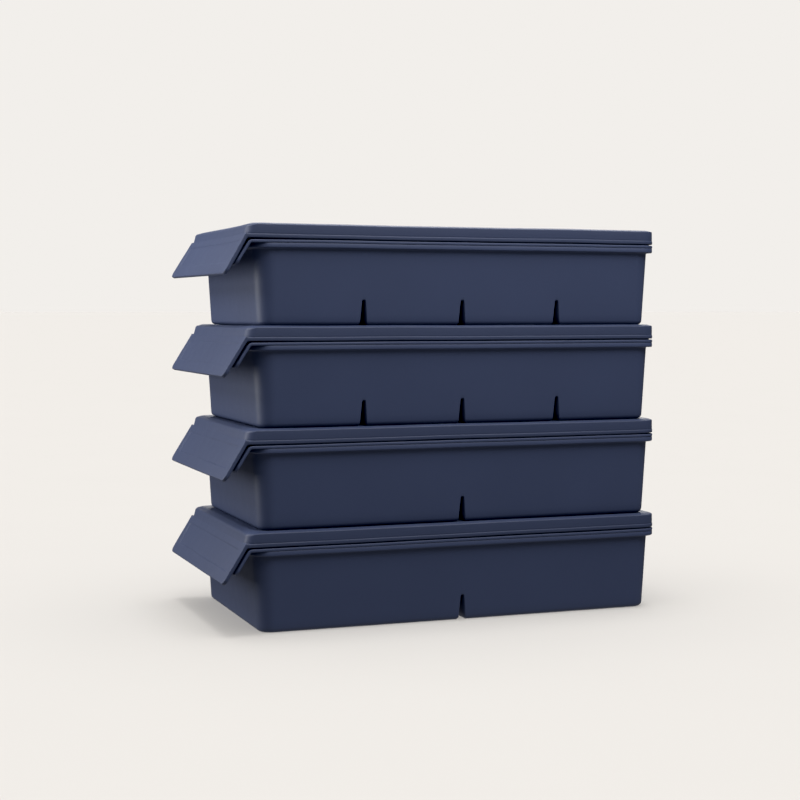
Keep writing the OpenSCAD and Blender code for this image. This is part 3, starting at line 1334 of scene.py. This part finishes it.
class Graph:
    """A node tree being filled."""

    def __init__(self, tree: bpy.types.NodeTree) -> None:
        """Empties the tree."""
        self.tree = tree
        tree.nodes.clear()

    def node(
        self, kind: str, settings: dict[str, object], inputs: dict[object, object], output: object = 0
    ) -> Value:
        """Adds any node: its settings first, then its sockets' values and links.

        Args:
            kind: The node's type name.
            settings: Attributes to set on the node.
            inputs: Values or links by socket name or number.
            output: Name or number of the output to return.

        Returns:
            The chosen output, or the first one. A node without outputs gives an empty value.
        """
        made = self.tree.nodes.new(kind)
        for key, value in settings.items():
            setattr(made, key, value)
        for key, value in inputs.items():
            if isinstance(value, Value):
                self.tree.links.new(value.socket, made.inputs[key])
            else:
                made.inputs[key].default_value = value
        return Value(self, made.outputs[output]) if len(made.outputs) else Value(self, None)

    def surface(self, inputs: dict[str, object]) -> None:
        """A Principled surface with these inputs, joined to the material's output."""
        shell = self.node("ShaderNodeBsdfPrincipled", {}, inputs)
        self.node("ShaderNodeOutputMaterial", {}, {"Surface": shell})

    def noise(self, at: Value, scale: float, detail: float = 2.0, rough: float = 0.5) -> Value:
        """Noise from 0 to 1, with features about 1 / scale metres wide."""
        inputs = {"Vector": at, "Scale": scale, "Detail": detail, "Roughness": rough}
        return self.node("ShaderNodeTexNoise", {}, inputs)

    def mix(self, share: object, first: object, second: object) -> Value:
        """A mix of two colours."""
        inputs = {0: share, 6: first, 7: second}
        return self.node("ShaderNodeMix", {"data_type": "RGBA"}, inputs, 2)

    def at(self, stretch: tuple[float, float, float] = (1.0, 1.0, 1.0)) -> Value:
        """The place on the piece, in its own coordinates."""
        place = self.node("ShaderNodeTexCoord", {}, {}, "Object")
        return self.node("ShaderNodeMapping", {}, {"Vector": place, "Scale": stretch})


def new_material(name: str) -> tuple[bpy.types.Material, Graph]:
    """Makes an empty material and the graph that fills it.

    Args:
        name: The material's name.

    Returns:
        The material and its graph.
    """
    made = bpy.data.materials.new(name)
    made.use_nodes = True
    return made, Graph(made.node_tree)


@dataclass(frozen=True)
class SiliconeFinish:
    """Dark satin silicone: fine moulded grain, faint cloudiness, a little dust on top, and painted shade
    that darkens the lids and the lower levels.
    """

    part: Part
    colour: tuple[float, float, float] = (0.031, 0.043, 0.091)
    dust: tuple[float, float, float] = (0.20, 0.22, 0.26)
    rough_low: float = 0.50
    rough_high: float = 0.60
    ior: float = 1.36
    grain: float = 1900.0
    grain_depth: float = 0.00003
    # Painted shade: the lids' colour is darker, to tone down their skirts and tabs, which the steep lamps
    # light brighter than the tray walls.
    lid_painted_shade: float = 0.86
    # Painted shade: the colour grows darker level by level towards the bottom of the stack, in place of
    # the light that falls off there.
    low_painted_shade: float = 0.94
    level_painted_shade: float = 0.03
    cloud_low: float = 0.93
    cloud_high: float = 1.07
    dust_film: float = 0.015
    dust_flecks: float = 0.2

    def material(self, level: int) -> bpy.types.Material:
        """Makes the material of one level's moulding.

        Args:
            level: The level, whose painted shade makes the lower levels darker.

        Returns:
            The material.
        """
        made, g = new_material(f"{self.part.value}_{level}_silicone")
        at = g.at()
        cloud = g.noise(at, 22.0, 3.0)
        fleck = g.noise(at, 2600.0, 1.0).between(0.66, 0.74)
        patch = g.noise(at, 60.0, 2.0).between(0.45, 0.7)
        facing = g.node("ShaderNodeNewGeometry", {}, {}, "Normal")
        up = g.node("ShaderNodeSeparateXYZ", {}, {"Vector": facing}, "Z").between(0.3, 0.95)
        # Painted shade: darker for the lower levels, and darker again for the lids.
        painted_shade = self.low_painted_shade + self.level_painted_shade * level
        painted_shade = painted_shade * (self.lid_painted_shade if self.part is Part.LID else 1.0)
        deep = tuple(c * painted_shade * self.cloud_low for c in self.colour) + (1.0,)
        pale = tuple(c * painted_shade * self.cloud_high for c in self.colour) + (1.0,)
        base = g.mix(cloud, deep, pale)
        dusty = up * (self.dust_film * patch + self.dust_flecks * fleck * patch)
        base = g.mix(dusty, base, (*self.dust, 1.0))
        rough = self.rough_low + (self.rough_high - self.rough_low) * g.noise(at, 130.0, 3.0)
        height = 0.7 * g.noise(at, self.grain, 2.0, 0.6) + 0.3 * g.noise(at, self.grain / 4, 1.0)
        bump = {"Strength": 0.35, "Distance": self.grain_depth, "Height": height}
        normal = g.node("ShaderNodeBump", {}, bump)
        g.surface({"Base Color": base, "Roughness": rough, "Normal": normal, "IOR": self.ior})
        return made


@dataclass(frozen=True)
class SteelFinish:
    """Drawn stainless wire: bright, with fine scratches along its length."""

    colour: tuple[float, float, float] = (0.62, 0.63, 0.65)
    pale: float = 1.1
    rough_low: float = 0.22
    rough_add: float = 0.16

    def material(self) -> bpy.types.Material:
        """Makes the wire's material.

        Returns:
            The material.
        """
        made, g = new_material("rim_wire_steel")
        streak = g.noise(g.at((1.0, 1.0, 6.0)), 900.0, 3.0)
        pale = tuple(c * self.pale for c in self.colour)
        base = g.mix(streak, (*self.colour, 1.0), (*pale, 1.0))
        rough = self.rough_low + self.rough_add * streak
        g.surface({"Base Color": base, "Metallic": 1.0, "Roughness": rough})
        return made


# ---------------------------------------------------------------- studio


@dataclass(frozen=True)
class SoftBox:
    """One square lamp that lights the stack and leaves the floor alone.

    It looks from its place at its aim, both in metres.
    """

    name: str
    watts: float
    side: float
    at: tuple[float, float, float]
    aim: tuple[float, float, float]
    colour: tuple[float, float, float] = (1.0, 0.99, 0.975)

    def build(self, stack: bpy.types.Collection) -> None:
        """Hangs the lamp and points it.

        Args:
            stack: The pieces that it lights.
        """
        lamp = bpy.data.lights.new(self.name, "AREA")
        lamp.energy, lamp.size = self.watts, self.side
        lamp.color = self.colour
        holder = bpy.data.objects.new(self.name, lamp)
        holder.location = self.at
        aim = Vector(self.aim) - Vector(self.at)
        holder.rotation_euler = aim.to_track_quat("-Z", "Y").to_euler()
        holder.visible_camera = False
        bpy.context.scene.collection.objects.link(holder)
        holder.light_linking.receiver_collection = stack


@dataclass(frozen=True)
class Studio:
    """The pale floor, the soft light round it and the camera."""

    backdrop: tuple[float, float, float] = (0.888, 0.863, 0.831)
    floor: tuple[float, float, float] = (0.68, 0.668, 0.652)
    floor_tone: float = 0.985
    floor_half: float = 200.0
    floor_z: float = -0.00002
    surround: tuple[float, float, float] = (1.0, 0.985, 0.965)
    surround_light: float = 0.07
    light_above: float = 0.26
    light_below: float = 0.42
    sun_colour: tuple[float, float, float] = (1.0, 0.98, 0.955)
    sky_strength: float = 1.2
    sky_angle: float = math.radians(75.0)
    sky_turn: tuple[float, float, float] = (math.radians(28.0), math.radians(6.0), 0.0)
    floor_strength: float = 2.36
    contact_strength: float = 0.95
    contact_angle: float = math.radians(22.0)
    boxes: tuple[SoftBox, ...] = (
        SoftBox("over_box", 5.0, 0.5, (0.12, -0.37, 0.68), (0.0, -0.05, 0.15)),
        SoftBox("side_box", 2.8, 0.32, (-0.42, 0.04, 0.47), (-0.12, 0.0, 0.17)),
        SoftBox("end_box", 1.1, 0.22, (-0.44, 0.12, 0.14), (-0.12, 0.0, 0.11)),
        SoftBox("back_box", 4.0, 0.5, (0.25, 0.55, 0.5), (0.0, 0.05, 0.12)),
    )
    camera_at: tuple[float, float, float] = (-0.3332, -0.8855, 0.1732)
    camera_turn: float = math.radians(20.24)
    lens: float = 71.68
    sensor: float = 36.0
    shift_y: float = -0.1115
    sight: float = 1000.0
    black_level: float = 0.004

    def build(self, stack: bpy.types.Collection) -> None:
        """Builds the floor, the world, the lamps and the camera, and sets how dark tones show.

        Args:
            stack: The pieces that the soft boxes light.
        """
        floor = bpy.data.collections.new("floor")
        floor.objects.link(self._floor())
        self._world()
        straight_down = (0.0, 0.0, 0.0)
        self._sun("sky_lamp", self.sky_strength, self.sky_angle, self.sky_turn, stack)
        self._sun("contact_lamp", self.contact_strength, self.contact_angle, straight_down, floor)
        lamp = self._sun("floor_lamp", self.floor_strength, self.sky_angle, straight_down, floor)
        lamp.light_linking.blocker_collection = floor
        for box in self.boxes:
            box.build(stack)
        self._camera()
        view = bpy.context.scene.view_settings
        view.view_transform = "Standard"
        view.use_curve_mapping = True
        view.curve_mapping.black_level = (self.black_level, self.black_level, self.black_level)
        view.curve_mapping.update()

    def _floor(self) -> bpy.types.Object:
        """A wide level sheet just under the feet.

        Returns:
            The sheet.
        """
        half, z = self.floor_half, self.floor_z
        corners = [(-half, -half, z), (half, -half, z), (half, half, z), (-half, half, z)]
        mesh = bpy.data.meshes.new("studio_floor")
        mesh.from_pydata(corners, [], [(0, 1, 2, 3)])
        sheet = bpy.data.objects.new("studio_floor", mesh)
        bpy.context.scene.collection.objects.link(sheet)
        made, g = new_material("studio_floor")
        tone = tuple(c * self.floor_tone for c in self.floor)
        base = g.mix(g.noise(g.at(), 9.0, 2.0), (*self.floor, 1.0), (*tone, 1.0))
        g.surface({"Base Color": base, "Roughness": 1.0, "Specular IOR Level": 0.0})
        mesh.materials.append(made)
        sheet.visible_diffuse = sheet.visible_glossy = False
        sheet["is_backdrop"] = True
        return sheet

    def _world(self) -> None:
        """Plain backdrop to look at, and a soft surround that is brighter above and below."""
        world = bpy.data.worlds.new("studio")
        bpy.context.scene.world = world
        world.use_nodes = True
        g = Graph(world.node_tree)
        towards = g.node("ShaderNodeTexCoord", {}, {}, "Generated")
        z = g.node("ShaderNodeSeparateXYZ", {}, {"Vector": towards}, "Z")
        light = self.surround_light + self.light_above * z.between(-0.1, 1.0)
        light = light + self.light_below * (0.0 - z).between(0.0, 0.7)
        glow = g.node("ShaderNodeBackground", {}, {"Color": (*self.surround, 1.0), "Strength": light})
        plain = g.node("ShaderNodeBackground", {}, {"Color": (*self.backdrop, 1.0), "Strength": 1.0})
        seen = g.node("ShaderNodeLightPath", {}, {}, "Is Camera Ray")
        both = g.node("ShaderNodeMixShader", {}, {0: seen, 1: glow, 2: plain})
        g.node("ShaderNodeOutputWorld", {}, {"Surface": both})

    def _sun(
        self,
        name: str,
        strength: float,
        angle: float,
        turn: tuple[float, float, float],
        lit: bpy.types.Collection,
    ) -> bpy.types.Object:
        """One soft lamp from far away.

        Args:
            name: The lamp's name.
            strength: Light that falls on a square metre.
            angle: How wide it looks.
            turn: How it is turned from straight down.
            lit: The pieces that it lights.

        Returns:
            The lamp.
        """
        lamp = bpy.data.lights.new(name, "SUN")
        lamp.energy, lamp.angle = strength, angle
        lamp.color = self.sun_colour
        holder = bpy.data.objects.new(name, lamp)
        holder.rotation_euler = turn
        bpy.context.scene.collection.objects.link(holder)
        holder.light_linking.receiver_collection = lit
        return holder

    def _camera(self) -> None:
        """A level camera, turned towards the stack's tab end."""
        data = bpy.data.cameras.new("camera")
        data.lens, data.sensor_width, data.shift_y = self.lens, self.sensor, self.shift_y
        data.clip_end = self.sight
        camera = bpy.data.objects.new("camera", data)
        camera.location = self.camera_at
        camera.rotation_euler = (math.pi / 2, 0.0, -self.camera_turn)
        bpy.context.scene.collection.objects.link(camera)
        bpy.context.scene.camera = camera


# ---------------------------------------------------------------- stack


@dataclass(frozen=True)
class Level:
    """One tray with its lid and the wire in its rim."""

    sizes: StackSizes
    number: int
    tray_slack: Slack
    lid_slack: Slack

    @property
    def _compartments(self) -> int:
        """How many compartments the record states for this tray.

        Returns:
            The number of compartments.
        """
        openings = frame["record"]["physics"]["openings"]
        mine = [o["name"] for o in openings if o["name"].startswith(f"tray_{self.number}_")]
        return sum(name.endswith("compartment") for name in mine)

    def build(self) -> None:
        """Builds the tray and the lid, and dresses them."""
        k = self.number
        foot = float(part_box(f"tray_{k}_body")[0][2]) / MM
        place = np.array([self.sizes.centre_x, 0.0, foot])
        tray = Tray(self.sizes, k, self._compartments)
        lid = Lid(self.sizes, k)
        tray_piece = tray.build().make(tray.name, place, self.tray_slack)
        tray_piece.data.materials.append(SiliconeFinish(Part.TRAY).material(k))
        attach(tray_piece, f"tray_{k}")
        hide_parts(f"tray_{k}_body")
        faces = len(tray_piece.data.polygons)
        LOG.info("%s: %d compartments, %d faces", tray.name, tray.compartments, faces)
        lid_piece = lid.build().make(lid.name, place, self.lid_slack)
        lid_piece.data.materials.append(SiliconeFinish(Part.LID).material(k))
        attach(lid_piece, f"lid_{k}")
        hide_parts(f"lid_{k}")
        LOG.info("%s: %d faces", lid.name, len(lid_piece.data.polygons))

    def dress_wire(self, steel: bpy.types.Material) -> None:
        """Gives the wire its finish.

        Args:
            steel: The wire's material.
        """
        wire = frame["nodes"][f"tray_{self.number}_rim_wire"]
        wire.data.materials.clear()
        wire.data.materials.append(steel)
        LOG.info("%s dressed", wire.name)


def corners(pair: tuple[Vector, Vector]) -> list[list[float]]:
    """Two corners as plain lists."""
    return [[float(v) for v in corner] for corner in pair]


def main() -> None:
    """Builds the stack and the studio."""
    logging.basicConfig(level=logging.INFO, format="%(name)s: %(message)s")
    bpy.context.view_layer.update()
    sizes = StackSizes.from_frame()
    steel = SteelFinish().material()
    lid_slack = [
        Slack(wave=0.14, phase=0.4, tab_swing=0.3, tab_twist=0.2),
        Slack(wave=0.16, phase=2.1, corner_lift=0.15, tab_swing=0.5, tab_twist=-0.3),
        Slack(wave=0.16, phase=3.7, corner_lift=0.2, tab_swing=0.3, tab_twist=0.25),
        Slack(wave=0.18, phase=5.2, corner_lift=0.35, tab_swing=1.0, tab_twist=-0.8),
    ]
    for k, slack in enumerate(lid_slack, 1):
        tray_slack = Slack(wave=0.12, phase=1.3 * k, tab_swing=0.2, tab_root=-122.5, tab_z=46.0)
        level = Level(sizes, k, tray_slack, slack)
        level.build()
        level.dress_wire(steel)
    stack = bpy.data.collections.new("stack")
    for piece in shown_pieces():
        stack.objects.link(piece)
    Studio().build(stack)


if __name__ == "__main__":
    main()
